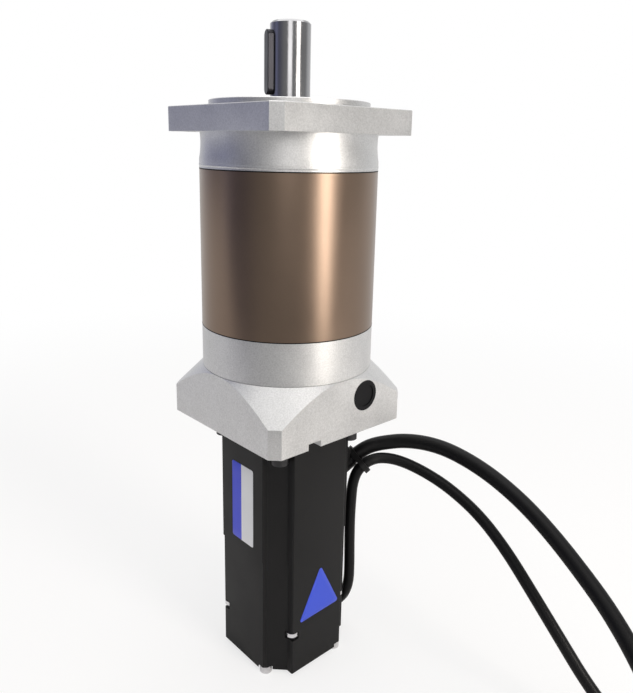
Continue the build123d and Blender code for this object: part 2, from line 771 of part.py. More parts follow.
save(lower_ring, "lower_ring")

housing_screw_place = housing_screw_circle / 2 * cos(radians(housing_screw_angle))
save_socket_screws(quarter_turns((housing_screw_place, housing_screw_place)),
                   z_lower_ring + housing_screw_recess - housing_screw_head_height, housing_screw_head_diameter,
                   housing_screw_head_height, housing_screw_diameter, housing_screw_length, "housing_screws")
save_bearing(input_bearing, z_input_bearing_bottom, "input_bearing")

# Motor adapter: a square block under a 45 degree cone, bored for the clamp collar
z_plug = z_lower_ring - plug_below_top
cone_foot = flange_size
cone_drop = (cone_foot - gearbox_diameter / 2) * tan(adapter_cone_angle)
face_y = -flange_size / 2
with BuildPart() as motor_adapter:
    with BuildSketch(Plane.XY.offset(z_adapter)) as adapter_square:
        Rectangle(flange_size, flange_size)
        chamfer(adapter_square.vertices(), flange_corner_cut)
    extrude(amount=adapter_height)
    revolve(section((0, z_lower_ring), (gearbox_diameter / 2, z_lower_ring),
                    (cone_foot, z_lower_ring - cone_drop), (0, z_lower_ring - cone_drop)),
            axis=Axis.Z, mode=Mode.INTERSECT)
    revolve(tube_section(0, adapter_cavity_diameter, z_adapter, z_lower_ring), axis=Axis.Z, mode=Mode.SUBTRACT)
    revolve(tube_section(0, motor_pilot_diameter, z_adapter, z_adapter + motor_pilot_height + motor_pilot_gap),
            axis=Axis.Z, mode=Mode.SUBTRACT)
    with BuildSketch(Plane.XY.offset(z_adapter)):
        with Locations(*quarter_turns((motor_screw_place, motor_screw_place))):
            Circle(motor_screw_diameter / 2)
    extrude(amount=motor_screw_thread_depth, mode=Mode.SUBTRACT)
    with BuildSketch(Plane.XY.offset(z_adapter)):
        with PolarLocations(adapter_screw_circle / 2, 4):
            Circle(adapter_screw_clearance_hole / 2)
    extrude(amount=adapter_height, mode=Mode.SUBTRACT)
    with BuildSketch(Plane.XY.offset(z_adapter)):
        with PolarLocations(adapter_screw_circle / 2, 4):
            Circle(adapter_screw_recess_diameter / 2)
    extrude(amount=adapter_screw_recess_depth, mode=Mode.SUBTRACT)
    with BuildSketch(Plane.XZ.offset(-face_y)):
        with Locations((plug_across, z_plug)):
            Circle(plug_diameter / 2)
    extrude(amount=-plug_length - plug_clearance, mode=Mode.SUBTRACT)
    with BuildSketch(Plane.XZ.offset(-face_y)):
        with Locations((plug_across, z_plug)):
            Circle(access_hole_diameter / 2)
    extrude(amount=face_y, mode=Mode.SUBTRACT)
    slot_middle = adapter_slot_width / 2 - adapter_slot_left
    with BuildSketch(Plane.XY.offset(z_adapter)):
        with Locations((slot_middle, (face_y - motor_half) / 2)):
            Rectangle(adapter_slot_width, flange_size / 2 - motor_half)
    extrude(amount=adapter_slot_height, mode=Mode.SUBTRACT)
save(motor_adapter, "motor_adapter")

# Access plug, a push-in cap with a dished face
with BuildPart() as access_plug:
    with BuildSketch(Plane.XZ.offset(-face_y)):
        with Locations((plug_across, z_plug)):
            Circle(plug_diameter / 2 - plug_clearance)
    extrude(amount=-plug_length)
    with BuildSketch(Plane.XZ.offset(-face_y)):
        with Locations((plug_across, z_plug)):
            Circle(plug_dish_diameter / 2)
    extrude(amount=-plug_dish_depth, mode=Mode.SUBTRACT)
save(access_plug, "access_plug")

save_socket_screws([(adapter_screw_circle / 2, 0), (0, adapter_screw_circle / 2),
                    (-adapter_screw_circle / 2, 0), (0, -adapter_screw_circle / 2)],
                   z_adapter + adapter_screw_recess_depth - adapter_screw_head_height,
                   adapter_screw_head_diameter, adapter_screw_head_height, adapter_screw_diameter,
                   adapter_screw_length, "adapter_screws")
save_socket_screws(quarter_turns((motor_screw_place, motor_screw_place)),
                   z_motor_flange - motor_screw_head_height, motor_screw_head_diameter,
                   motor_screw_head_height, motor_screw_diameter, motor_screw_length, "motor_screws")

# Input hub: a split clamp collar below, the bearing journal, and the first sun on top
z_motor_shaft_top = z_adapter + motor_shaft_length
collar_bottom = z_plug - hub_collar_height / 2
collar_top = z_plug + hub_collar_height / 2
with BuildPart() as input_hub:
    collar = hub_collar_diameter / 2
    hub_shoulder = hub_shoulder_diameter / 2
    hub_journal = input_bearing[0] / 2
    revolve(section((0, collar_bottom), (collar - edge_break, collar_bottom), (collar, collar_bottom + edge_break),
                    (collar, collar_top - edge_break), (collar - edge_break, collar_top),
                    (hub_shoulder, collar_top), (hub_shoulder, z_input_bearing_bottom),
                    (hub_journal, z_input_bearing_bottom), (hub_journal, z_input_bearing_top),
                    (0, z_input_bearing_top)), axis=Axis.Z)
    with BuildSketch(Plane.XY.offset(z_input_bearing_top)):
        add(sun_outline(stage_1))
    extrude(amount=stage_1.planet_top - z_input_bearing_top)
    with BuildSketch(Plane.XY.offset(collar_bottom)):
        Circle(motor_shaft_diameter / 2)
    extrude(amount=z_motor_shaft_top + hub_bore_end_gap - collar_bottom, mode=Mode.SUBTRACT)
    with BuildSketch(Plane.XY.offset(collar_bottom)):
        with Locations((collar / 2 + 1, 0)):
            Rectangle(collar + 2, hub_slit)
    extrude(amount=hub_collar_height, mode=Mode.SUBTRACT)
    with BuildSketch(Plane.XZ.offset(clamp_screw_head_seat)):
        with Locations((plug_across, z_plug)):
            Circle(clamp_screw_head_diameter / 2 + clamp_screw_head_clearance)
    extrude(amount=hub_collar_diameter / 2, mode=Mode.SUBTRACT)
    with BuildSketch(Plane.XZ.offset(clamp_screw_head_seat)):
        with Locations((plug_across, z_plug)):
            Circle(clamp_screw_diameter / 2)
    extrude(amount=-clamp_screw_length - clamp_screw_tip_gap, mode=Mode.SUBTRACT)
save(input_hub, "input_hub")

# Clamp screw across the collar's slit, its head behind the access plug
with BuildPart() as clamp_screw:
    with BuildSketch(Plane.XZ.offset(clamp_screw_head_seat)):
        with Locations((plug_across, z_plug)):
            Circle(clamp_screw_head_diameter / 2)
    extrude(amount=clamp_screw_head_height)
    with BuildSketch(Plane.XZ.offset(clamp_screw_head_seat)):
        with Locations((plug_across, z_plug)):
            Circle(clamp_screw_diameter / 2)
    extrude(amount=-clamp_screw_length)
    with BuildSketch(Plane.XZ.offset(clamp_screw_head_seat + clamp_screw_head_height)):
        with Locations((plug_across, z_plug)):
            RegularPolygon(socket_diameter / 2, 6)
    extrude(amount=-socket_depth, mode=Mode.SUBTRACT)
save(clamp_screw, "clamp_screw")


def motor_outline(half, step_inset):
    """Motor section: four flats, and between each two a channel with stepped walls and a 45 degree floor."""
    step = half - step_inset
    flat_end = motor_half - flat_end_inset
    floor = motor_size - sqrt(2) * corner_floor_depth
    corner = [(-step, -half), (flat_end, -half), (flat_end, flat_end - floor), (floor - step, -step)]
    points = []
    for quarter in range(4):
        for x, y in corner:
            points.append(quarter_turns((x, y))[quarter])
    with BuildSketch() as outline:
        with BuildLine():
            Polyline(*points, close=True)
        make_face()
        fillet(outline.vertices(), edge_radius)
    return outline.sketch


# Motor front flange with its pilot, spigot and bearing seat
z_front_motor_bearing = z_adapter - 3.0 - motor_front_bearing[2]
flange_leg = sqrt(2) * motor_flange_cut
with BuildPart() as motor_front_flange:
    with BuildSketch(Plane.XY.offset(z_motor_flange)) as motor_square:
        Rectangle(motor_size, motor_size)
        chamfer(motor_square.vertices(), flange_leg)
    extrude(amount=motor_flange_thickness)
    revolve(tube_section(0, motor_pilot_diameter, z_adapter, z_adapter + motor_pilot_height))
    revolve(tube_section(0, motor_bore, z_motor_flange - motor_spigot_height, z_motor_flange))
    revolve(tube_section(0, motor_front_bearing[1], z_motor_flange - motor_spigot_height,
                         z_front_motor_bearing + motor_front_bearing[2]), mode=Mode.SUBTRACT)
    revolve(tube_section(0, motor_shaft_diameter + 2 * motor_shaft_clearance, z_front_motor_bearing,
                         z_adapter + motor_pilot_height), mode=Mode.SUBTRACT)
    with BuildSketch(Plane.XY.offset(z_motor_flange)):
        with Locations(*quarter_turns((motor_screw_place, motor_screw_place))):
            Circle(motor_screw_clearance_hole / 2)
    extrude(amount=motor_flange_thickness, mode=Mode.SUBTRACT)
save(motor_front_flange, "motor_front_flange")

# Motor body, in two sections whose corner steps differ a little
with BuildPart() as motor_body:
    with BuildSketch(Plane.XY.offset(rear_section_height + z_cover)):
        add(motor_outline(motor_half, front_step_inset))
    extrude(amount=z_motor_flange - z_cover - rear_section_height)
    with BuildSketch(Plane.XY.offset(z_seam)):
        add(motor_outline(rear_half, rear_step_inset))
    extrude(amount=z_cover + rear_section_height - z_seam)
    with BuildSketch(Plane.XY.offset(z_seam)):
        Circle(motor_bore / 2)
    extrude(amount=z_motor_flange - z_seam, mode=Mode.SUBTRACT)
    with BuildSketch(Plane.XY.offset(z_motor_flange)):
        with Locations(*quarter_turns((motor_screw_place, motor_screw_place))):
            Circle(motor_screw_pocket_diameter / 2)
    extrude(amount=-motor_screw_head_height - edge_radius, mode=Mode.SUBTRACT)
    with BuildSketch(Plane.XY.offset(z_seam)):
        with Locations(*quarter_turns(seam_screw_place)):
            Circle(seam_screw_diameter / 2)
    extrude(amount=seam_screw_length, mode=Mode.SUBTRACT)
    with BuildSketch(Plane.XY.offset(z_seam)):
        with Locations(*quarter_turns(cover_screw_place)):
            Circle(cover_screw_diameter / 2)
    extrude(amount=cover_screw_thread, mode=Mode.SUBTRACT)
save(motor_body, "motor_body")

# Rear bell: carries the rear bearing and the encoder board's posts
z_board_top = z_seam - board_post_length
z_rear_motor_bearing = z_seam + rear_bell_lip
with BuildPart() as rear_bell:
    revolve(tube_section(rear_bell_hole, motor_bore, z_seam, z_seam + rear_bell_thickness))
    revolve(tube_section(0, motor_rear_bearing[1], z_rear_motor_bearing, z_seam + rear_bell_thickness),
            mode=Mode.SUBTRACT)
    with BuildSketch(Plane.XY.offset(z_board_top)):
        with PolarLocations(board_post_circle / 2, 3):
            Circle(board_post_diameter / 2)
    extrude(amount=board_post_length)
save(rear_bell, "rear_bell")

# Rear cover: a closed cap with a round cavity, and four open screw pockets at each of its ends
with BuildPart() as rear_cover:
    with BuildSketch(Plane.XY.offset(z_cover)):
        add(motor_outline(rear_half, rear_step_inset))
    extrude(amount=cover_height)
    with BuildSketch(Plane.XY.offset(z_seam)):
        Circle(cover_cavity_diameter / 2)
    extrude(amount=cover_floor - cover_height, mode=Mode.SUBTRACT)
    with BuildSketch(Plane.XY.offset(z_seam)):
        with Locations(*quarter_turns(seam_screw_place)):
            Circle(seam_pocket_diameter / 2)
    extrude(amount=-seam_pocket_depth, mode=Mode.SUBTRACT)
    with BuildSketch(Plane.XY.offset(z_cover)):
        with Locations(*quarter_turns(cover_screw_place)):
            Circle(cover_screw_diameter / 2)
    extrude(amount=cover_height, mode=Mode.SUBTRACT)
    with BuildSketch(Plane.XY.offset(z_cover)):
        with Locations(*quarter_turns(cover_screw_place)):
            Circle(cover_pocket_diameter / 2)
    extrude(amount=cover_screw_head_height - cover_screw_head_proud, mode=Mode.SUBTRACT)
save(rear_cover, "rear_cover")

save_socket_screws(quarter_turns(cover_screw_place), z_cover - cover_screw_head_proud,
                   cover_screw_head_diameter, cover_screw_head_height, cover_screw_diameter,
                   cover_height + cover_screw_head_proud - cover_screw_head_height + cover_screw_thread, "cover_screws")
save_socket_screws(quarter_turns(seam_screw_place), z_seam - seam_screw_head_height,
                   seam_screw_head_diameter, seam_screw_head_height, seam_screw_diameter,
                   seam_screw_length, "seam_screws")

save_bearing(motor_front_bearing, z_front_motor_bearing, "motor_bearing_front")
save_bearing(motor_rear_bearing, z_rear_motor_bearing, "motor_bearing_rear")

# Stator core with its slots
z_stator = z_seam + stator_bottom_gap
with BuildPart() as stator_core:
    with BuildSketch(Plane.XY.offset(z_stator)):
        Circle(motor_bore / 2)
        Circle(stator_bore / 2, mode=Mode.SUBTRACT)
        with PolarLocations(slot_mid_radius, slot_count):
            Rectangle(slot_depth, slot_width, mode=Mode.SUBTRACT)
    extrude(amount=stator_length)
save(stator_core, "stator_core")

# Windings: a ring at each end of the core, joined through the slots
with BuildPart() as stator_windings:
    z_stator_top = z_stator + stator_length
    revolve(tube_section(winding_inner_diameter, winding_outer_diameter, z_stator - winding_overhang,
                         z_stator - slot_liner))
    revolve(tube_section(winding_inner_diameter, winding_outer_diameter, z_stator_top + slot_liner,
                         z_stator_top + winding_overhang))
    fillet(stator_windings.edges().filter_by(GeomType.CIRCLE), 2 * edge_radius)
    with BuildSketch(Plane.XY.offset(z_stator - winding_overhang / 2)):
        with PolarLocations(slot_mid_radius, slot_count):
            Rectangle(slot_depth - 2 * slot_liner, slot_width - 2 * slot_liner)
    extrude(amount=stator_length + winding_overhang)
save(stator_windings, "stator_windings")

# Rotor: stepped shaft, core tube and magnets
z_rotor = z_stator - rotor_overhang
rotor_length = stator_length + 2 * rotor_overhang
z_tail = z_rear_motor_bearing - rear_tail_length
with BuildPart() as motor_shaft:
    front_journal = motor_front_bearing[0] / 2
    rear_journal = motor_rear_bearing[0] / 2
    core_seat = rotor_core_inner / 2
    shoulder = rotor_shoulder_diameter / 2
    tail = rear_tail_diameter / 2
    nose = motor_shaft_diameter / 2
    revolve(section((0, z_tail), (tail, z_tail), (tail, z_rear_motor_bearing), (rear_journal, z_rear_motor_bearing),
                    (rear_journal, z_rear_motor_bearing + motor_rear_bearing[2]),
                    (core_seat, z_rear_motor_bearing + motor_rear_bearing[2]),
                    (core_seat, z_front_motor_bearing - rotor_shoulder_height),
                    (shoulder, z_front_motor_bearing - rotor_shoulder_height), (shoulder, z_front_motor_bearing),
                    (front_journal, z_front_motor_bearing),
                    (front_journal, z_front_motor_bearing + motor_front_bearing[2]),
                    (nose, z_front_motor_bearing + motor_front_bearing[2]), (nose, z_motor_shaft_top),
                    (0, z_motor_shaft_top)), axis=Axis.Z)
save(motor_shaft, "motor_shaft")

magnet_gap = magnet_outer * pi / magnet_count * (1 - magnet_arc * magnet_count / 360)
with BuildPart() as motor_rotor:
    revolve(tube_section(rotor_core_inner, rotor_core_outer, z_rotor, z_rotor + rotor_length))
    with BuildSketch(Plane.XY.offset(z_stator)):
        Circle(magnet_outer / 2)
        Circle(rotor_core_outer / 2, mode=Mode.SUBTRACT)
        with PolarLocations(magnet_outer / 2, magnet_count):
            Rectangle(magnet_outer, magnet_gap, mode=Mode.SUBTRACT)
    extrude(amount=stator_length)
save(motor_rotor, "motor_rotor")

# Encoder disc on the shaft's tail, and the board on its posts
with BuildPart() as encoder_disc:
    revolve(tube_section(rear_tail_diameter, disc_hub_diameter, z_tail, z_tail + disc_hub_length))
    revolve(tube_section(disc_hub_diameter, disc_diameter, z_tail, z_tail + disc_thickness))
save(encoder_disc, "encoder_disc")

with BuildPart() as encoder_board:
    revolve(tube_section(board_hole, board_outer, z_board_top - board_thickness, z_board_top))
    with Locations((0, board_outer / 3, z_board_top - board_thickness)):
        Box(8.0, 8.0, 1.2, align=(Align.CENTER, Align.CENTER, Align.MAX))
save(encoder_board, "encoder_board")

# Power lead's gland: a hood that tapers away from the motor, and the short sleeve that the lead leaves
power_start = Vector(*power_route[0])
power_exit = (Vector(*power_route[1]) - power_start).normalized()
with BuildPart() as power_gland:
    with BuildSketch(Plane.YZ.offset(motor_half)):
        with Locations(power_gland_centre):
            RectangleRounded(*power_gland_base, 2.0)
    with BuildSketch(Plane.YZ.offset(motor_half + power_gland_height)):
        with Locations(power_gland_end_centre):
            RectangleRounded(*power_gland_end, 2.0)
    loft()
    with BuildSketch(Plane(power_start - power_exit * power_sleeve_length, z_dir=power_exit)):
        Circle(power_sleeve_diameter / 2)
    extrude(amount=power_sleeve_length)
save(power_gland, "power_gland")

# Encoder lead's boot: a sloping block on the rear cover that the lead leaves upwards and towards -Y
encoder_start = Vector(*encoder_route[0])
encoder_exit = Vector(*encoder_route[1]) - encoder_start
boot_depth, boot_length, boot_height = encoder_boot_size
with BuildPart() as encoder_gland:
    with BuildSketch(Plane(encoder_start, x_dir=(1, 0, 0), z_dir=encoder_exit)):
        with Locations((rear_half + boot_depth / 2 - encoder_start.X, 0)):
            Rectangle(boot_depth, boot_height)
    extrude(amount=-boot_length)
    fillet(encoder_gland.edges().group_by(Axis.X)[-1], 1.5)
save(encoder_gland, "encoder_gland")


def save_lead(route, diameter, name):
    """A lead's tube: straight runs joined by tangent arcs as large as the runs allow."""
    points = [Vector(*point) for point in route]
    radii = []
    for before, corner, after in zip(points, points[1:], points[2:]):
        shorter = min((corner - before).length, (after - corner).length)
        half_turn = radians((corner - before).get_angle(after - corner)) / 2
        radii.append(0.45 * shorter / tan(half_turn))
    with BuildPart() as lead:
        with BuildLine() as path:
            FilletPolyline(*route, radius=radii)
        with BuildSketch(Plane(points[0], z_dir=points[1] - points[0])):
            Circle(diameter / 2)
        sweep()
    length = path.wire().length
    share = lead.part.volume / (pi * diameter ** 2 / 4 * length)
    print(f"{name}: length {length:.1f}, volume share {share:.4f}, smallest radius {min(radii):.1f}")
    print("  radii", [round(radius, 1) for radius in radii])
    save(lead, name)


save_lead(power_route, power_lead_diameter, "power_lead")
save_lead(encoder_route, encoder_lead_diameter, "encoder_lead")


def save_connector(route, diameter, size, name):
    """A connector: a sleeve that meets the lead's end and a block with a row of contact openings."""
    end = Vector(*route[-1])
    level = Vector(*route[-1]) - Vector(*route[-2])
    heading = Vector(level.X, level.Y, 0).normalized()
    length, width, height = size
    tail_start = Plane(end, x_dir=(0, 0, 1), z_dir=level)
    block_start = Plane(Vector(end.X, end.Y, height / 2) + heading * connector_tail_length,
                        x_dir=(0, 0, 1), z_dir=heading)
    with BuildPart() as connector:
        with BuildSketch(block_start):
            RectangleRounded(height, width, connector_edge)
        extrude(amount=length)
        with BuildSketch(tail_start):
            Circle(diameter / 2 + connector_tail_wall)
        extrude(amount=connector_tail_length + length / 3)
        with BuildSketch(block_start.offset(length)):
            with GridLocations(height / 2.4, width / 4, 2, 3):
                Rectangle(height / 5, width / 7)
        extrude(amount=-length / 3, mode=Mode.SUBTRACT)
    save(connector, name)


save_connector(power_route, power_lead_diameter, power_connector_size, "power_connector")
save_connector(encoder_route, encoder_lead_diameter, encoder_connector_size, "encoder_connector")

# Cable tie round both leads where they run side by side
tie_from, tie_to = Vector(*encoder_route[tie_run]), Vector(*encoder_route[tie_run + 1])
encoder_at_tie = tie_from + (tie_to - tie_from) * tie_share
tie_direction = ((tie_to - tie_from).normalized() + power_exit).normalized()
power_at_tie = power_start + power_exit * ((encoder_at_tie - power_start).dot(tie_direction)
                                           / power_exit.dot(tie_direction))
tie_plane = Plane(power_at_tie, x_dir=encoder_at_tie - power_at_tie, z_dir=tie_direction)
tie_reach = (encoder_at_tie - power_at_tie).length
with BuildPart() as cable_tie:
    with BuildSketch(tie_plane.offset(-tie_width / 2)):
        Circle(power_lead_diameter / 2 + tie_clearance + tie_thickness)
        with Locations((tie_reach, 0)):
            Circle(encoder_lead_diameter / 2 + tie_clearance + tie_thickness)
        make_hull()
    extrude(amount=tie_width)
    with BuildSketch(tie_plane.offset(-tie_width / 2)):
        Circle(power_lead_diameter / 2 + tie_clearance)
        with Locations((tie_reach, 0)):
            Circle(encoder_lead_diameter / 2 + tie_clearance)
        make_hull()
    extrude(amount=tie_width, mode=Mode.SUBTRACT)
save(cable_tie, "cable_tie")
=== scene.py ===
"""A planetary gear servo motor that stands on the screws of its rear cover, on a pale floor, in soft light.

Metres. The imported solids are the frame: each gets a finish here, and those that show are smoothed. The
leads, the stickers, the lip on the neck and the joint lines beside the bronze housing are surfaces of their
own.
"""
import json
from math import pi, radians

import bmesh
import bpy
import numpy as np
from mathutils import Matrix, Vector


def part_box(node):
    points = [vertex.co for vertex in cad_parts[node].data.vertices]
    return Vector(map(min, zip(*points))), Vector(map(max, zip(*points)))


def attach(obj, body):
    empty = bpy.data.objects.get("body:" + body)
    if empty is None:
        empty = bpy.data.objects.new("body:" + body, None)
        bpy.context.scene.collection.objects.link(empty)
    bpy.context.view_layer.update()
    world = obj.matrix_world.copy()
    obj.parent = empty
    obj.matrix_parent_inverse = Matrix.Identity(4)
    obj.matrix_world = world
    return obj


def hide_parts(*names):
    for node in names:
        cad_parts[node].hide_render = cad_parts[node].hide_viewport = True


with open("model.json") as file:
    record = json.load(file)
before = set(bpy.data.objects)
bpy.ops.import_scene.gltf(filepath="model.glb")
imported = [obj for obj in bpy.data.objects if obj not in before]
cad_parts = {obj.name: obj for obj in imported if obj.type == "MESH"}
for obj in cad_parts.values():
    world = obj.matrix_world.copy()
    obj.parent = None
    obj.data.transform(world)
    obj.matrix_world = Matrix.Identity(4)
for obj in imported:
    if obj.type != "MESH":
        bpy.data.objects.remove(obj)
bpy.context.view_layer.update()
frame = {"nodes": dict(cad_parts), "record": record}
scene = bpy.context.scene
NODES = frame["nodes"]
MM = 0.001


# Camera

IMAGE_HEIGHT = 693
FOCAL_PIXELS = 678.19
CAMERA_SHIFT = (0.00468, -0.05012)
CAMERA_PLACE = (-0.225725, -0.269581, 0.286338)
CAMERA_DIRECTION = (0.65205, 0.71983, -0.23805)
CAMERA_ROLL = 1.147


def aim(thing, place, direction, roll=0.0):
    """Adds a camera or lamp to the scene at a place, its -Z axis along the direction and the room's +Z up."""
    turn = Vector(direction).to_track_quat("-Z", "Y").to_matrix().to_4x4()
    thing.matrix_world = Matrix.Translation(place) @ turn @ Matrix.Rotation(radians(roll), 4, "Z")
    scene.collection.objects.link(thing)


def place_camera():
    """The photograph's point of view, found from the widths of the flange, the housing and the motor."""
    view = bpy.data.cameras.new("camera")
    view.lens = FOCAL_PIXELS / IMAGE_HEIGHT * view.sensor_width
    view.shift_x, view.shift_y = CAMERA_SHIFT
    view.clip_start = 0.01
    view.clip_end = 20
    camera = bpy.data.objects.new("camera", view)
    aim(camera, CAMERA_PLACE, CAMERA_DIRECTION, CAMERA_ROLL)
    scene.camera = camera


# Lamps

WARM_LIGHT = (1.0, 0.94, 0.87)
WARMER_LIGHT = (1.0, 0.92, 0.85)
SKY_LIGHT = (0.55, 0.60, 1.0)
ROOM_LIGHT = (1.0, 0.98, 0.96)


def softbox(name, place, target, size, watts, tint):
    """A rectangular area lamp, as wide and high as its size says, that looks at the target."""
    lamp = bpy.data.lights.new(name, "AREA")
    lamp.shape = "RECTANGLE"
    lamp.size, lamp.size_y = size
    lamp.energy = watts
    lamp.color = tint
    aim(bpy.data.objects.new(name, lamp), place, Vector(target) - Vector(place))


place_camera()
softbox("window_right", (0.13, -1.19, 0.50), (0, 0, 0.2), size=(0.34, 1.2), watts=13, tint=WARM_LIGHT)
softbox("window_far_right", (0.85, -0.90, 0.55), (0, 0, 0.2), size=(0.5, 1.1), watts=0.15, tint=WARMER_LIGHT)
softbox("window_left", (-1.10, 0.75, 0.60), (0, 0, 0.2), size=(0.5, 1.2), watts=0.5, tint=SKY_LIGHT)
softbox("panel_front", (-0.82, -0.94, 0.50), (0, 0, 0.3), size=(0.5, 0.3), watts=1.4, tint=ROOM_LIGHT)
softbox("ceiling", (0.1, 0.1, 1.7), (0, 0, 0.1), size=(1.6, 1.6), watts=13.5, tint=ROOM_LIGHT)


# Shader nodes; a source is another node's output or a plain value

def colour(red, green, blue):
    """The colour as a node holds it, fully opaque."""
    return (red, green, blue, 1.0)


def feed(tree, source, target):
    """Brings a source to a node's input."""
    if isinstance(source, bpy.types.NodeSocket):
        tree.links.new(source, target)
    else:
        target.default_value = source


def add_node(tree, kind, sources=(), **settings):
    """A node with its settings and with sources, each under the name or number of the input that takes it."""
    node = tree.nodes.new(kind)
    for label, value in settings.items():
        setattr(node, label, value)
    for label, source in dict(sources).items():
        feed(tree, source, node.inputs[label])
    return node


def calculate(tree, operation, *sources):
    """The result of arithmetic on sources."""
    return add_node(tree, "ShaderNodeMath", enumerate(sources), operation=operation).outputs[0]


def measure(tree, operation, *sources):
    """One number, such as a length, from vectors."""
    return add_node(tree, "ShaderNodeVectorMath", enumerate(sources), operation=operation).outputs["Value"]


def map_range(tree, source, given, wanted, change="SMOOTHSTEP"):
    """The source, taken from the given range to the wanted one and held at its ends."""
    ends = {"From Min": given[0], "From Max": given[1], "To Min": wanted[0], "To Max": wanted[1]}
    node = add_node(tree, "ShaderNodeMapRange", {"Value": source, **ends}, interpolation_type=change)
    return node.outputs["Result"]


def mix(tree, share, first, second):
    """The first value where the share is 0, the second where it is 1."""
    return add_node(tree, "ShaderNodeMix", {0: share, 2: first, 3: second}, data_type="FLOAT").outputs[0]


def mix_colours(tree, share, first, second):
    """The first colour where the share is 0, the second where it is 1."""
    return add_node(tree, "ShaderNodeMix", {0: share, 6: first, 7: second}, data_type="RGBA").outputs[2]


def group(name, inputs, outputs):
    """An empty node group with float inputs (name: default) and named float outputs."""
    tree = bpy.data.node_groups.new(name, "ShaderNodeTree")
    for label, value in inputs.items():
        tree.interface.new_socket(label, in_out="INPUT", socket_type="NodeSocketFloat").default_value = value
    for label in outputs:
        tree.interface.new_socket(label, in_out="OUTPUT", socket_type="NodeSocketFloat")
    return tree, tree.nodes.new("NodeGroupInput").outputs, tree.nodes.new("NodeGroupOutput").inputs


# Finishes

GRAIN_SCALE = 3000.0
PATCH_SCALE = 40.0
TURNING_SCALE = 2500.0
LEAST_ROUGHNESS = 0.02
PATCH_RANGE = (0.25, 0.75)


def grain_group():
    """Two noises of a blasted, anodised or moulded surface: its fine speckle as a height, and its patches."""
    scales = {"Scale": GRAIN_SCALE, "Patch Scale": PATCH_SCALE}
    tree, given, result = group("grain", scales, ("Height", "Patches"))
    place = add_node(tree, "ShaderNodeTexCoord").outputs["Object"]
    for scale, out, detail, roughness in (("Scale", "Height", 2.0, 0.6), ("Patch Scale", "Patches", 3.0, 0.5)):
        sources = {"Vector": place, "Scale": given[scale], "Detail": detail, "Roughness": roughness}
        feed(tree, add_node(tree, "ShaderNodeTexNoise", sources).outputs["Fac"], result[out])
    return tree


def turning_group():
    """Marks that a lathe tool leaves round the Z axis: noise along one line, read at height plus radius."""
    tree, given, result = group("turning", {"Scale": TURNING_SCALE}, ("Height",))
    place = add_node(tree, "ShaderNodeTexCoord").outputs["Object"]
    parts = add_node(tree, "ShaderNodeSeparateXYZ", {0: place}).outputs
    flat = add_node(tree, "ShaderNodeCombineXYZ", {"X": parts["X"], "Y": parts["Y"]}).outputs[0]
    total = calculate(tree, "ADD", measure(tree, "LENGTH", flat), parts["Z"])
    noise = add_node(tree, "ShaderNodeTexNoise", {"W": total, "Scale": given["Scale"], "Detail": 3.0,
                                                  "Roughness": 0.7}, noise_dimensions="1D")
    feed(tree, noise.outputs["Fac"], result["Height"])
    return tree


GRAIN = grain_group()
TURNING = turning_group()
FINISHES = {}


def surface_finish(name, base, metallic, roughness, grain_scale=GRAIN_SCALE, grain_depth=0.0, sparkle=0.0,
                   turning_scale=TURNING_SCALE, turning_depth=0.0, rough_spread=0.06, tone_spread=0.06,
                   gloss=0.5):
    """Adds a material whose colour and roughness wander in patches, with grain and turning marks as bump.

    Depths are in millimetres. Sparkle is how much the grain lightens and darkens the colour.
    """
    material = FINISHES[name] = bpy.data.materials.new(name)
    material.use_nodes = True
    tree = material.node_tree
    grain = add_node(tree, "ShaderNodeGroup", {"Scale": grain_scale}, node_tree=GRAIN)
    turning = add_node(tree, "ShaderNodeGroup", {"Scale": turning_scale}, node_tree=TURNING)
    patches = grain.outputs["Patches"]

    smoothest = max(LEAST_ROUGHNESS, roughness - rough_spread)
    rough = map_range(tree, patches, PATCH_RANGE, (smoothest, roughness + rough_spread), "LINEAR")
    speckled = calculate(tree, "MULTIPLY_ADD", grain.outputs["Height"], sparkle,
                         calculate(tree, "SUBTRACT", patches, sparkle / 2))
    darker = colour(*[part * (1 - tone_spread) for part in base])
    lighter = colour(*[min(1.0, part * (1 + tone_spread)) for part in base])

    look = {"Metallic": metallic, "Specular IOR Level": gloss, "Roughness": rough,
            "Base Color": mix_colours(tree, speckled, darker, lighter)}
    for source, depth in ((grain, grain_depth), (turning, turning_depth)):
        if depth:
            bump = add_node(tree, "ShaderNodeBump", {"Strength": 1.0, "Distance": depth * MM,
                                                     "Height": source.outputs["Height"]})
            if "Normal" in look:
                feed(tree, look["Normal"], bump.inputs["Normal"])
            look["Normal"] = bump.outputs["Normal"]
    for label, source in look.items():
        feed(tree, source, tree.nodes["Principled BSDF"].inputs[label])


# Metals, outside and inside
surface_finish("satin_aluminium", (0.585, 0.585, 0.585), 1.0, 0.43, grain_scale=1500.0, grain_depth=0.012,
               sparkle=1.6, tone_spread=0.18)
surface_finish("bronze_coating", (0.215, 0.156, 0.117), 1.0, 0.32, grain_scale=2200.0, grain_depth=0.002,
               sparkle=0.8, rough_spread=0.02)
surface_finish("bearing_steel", (0.56, 0.57, 0.58), 1.0, 0.22, turning_depth=0.001)
surface_finish("ground_steel", (0.30, 0.30, 0.31), 1.0, 0.20, turning_scale=1800.0, turning_depth=0.0012)
surface_finish("key_steel", (0.035, 0.035, 0.04), 1.0, 0.35, grain_depth=0.004)
surface_finish("gear_steel", (0.45, 0.45, 0.46), 1.0, 0.3, grain_depth=0.004)
surface_finish("dark_screw_steel", (0.03, 0.03, 0.032), 0.6, 0.35, grain_depth=0.004)
surface_finish("bright_screw_steel", (0.72, 0.72, 0.74), 1.0, 0.22, grain_depth=0.002)
surface_finish("lamination_steel", (0.28, 0.29, 0.31), 1.0, 0.4, turning_scale=6000.0, turning_depth=0.02)
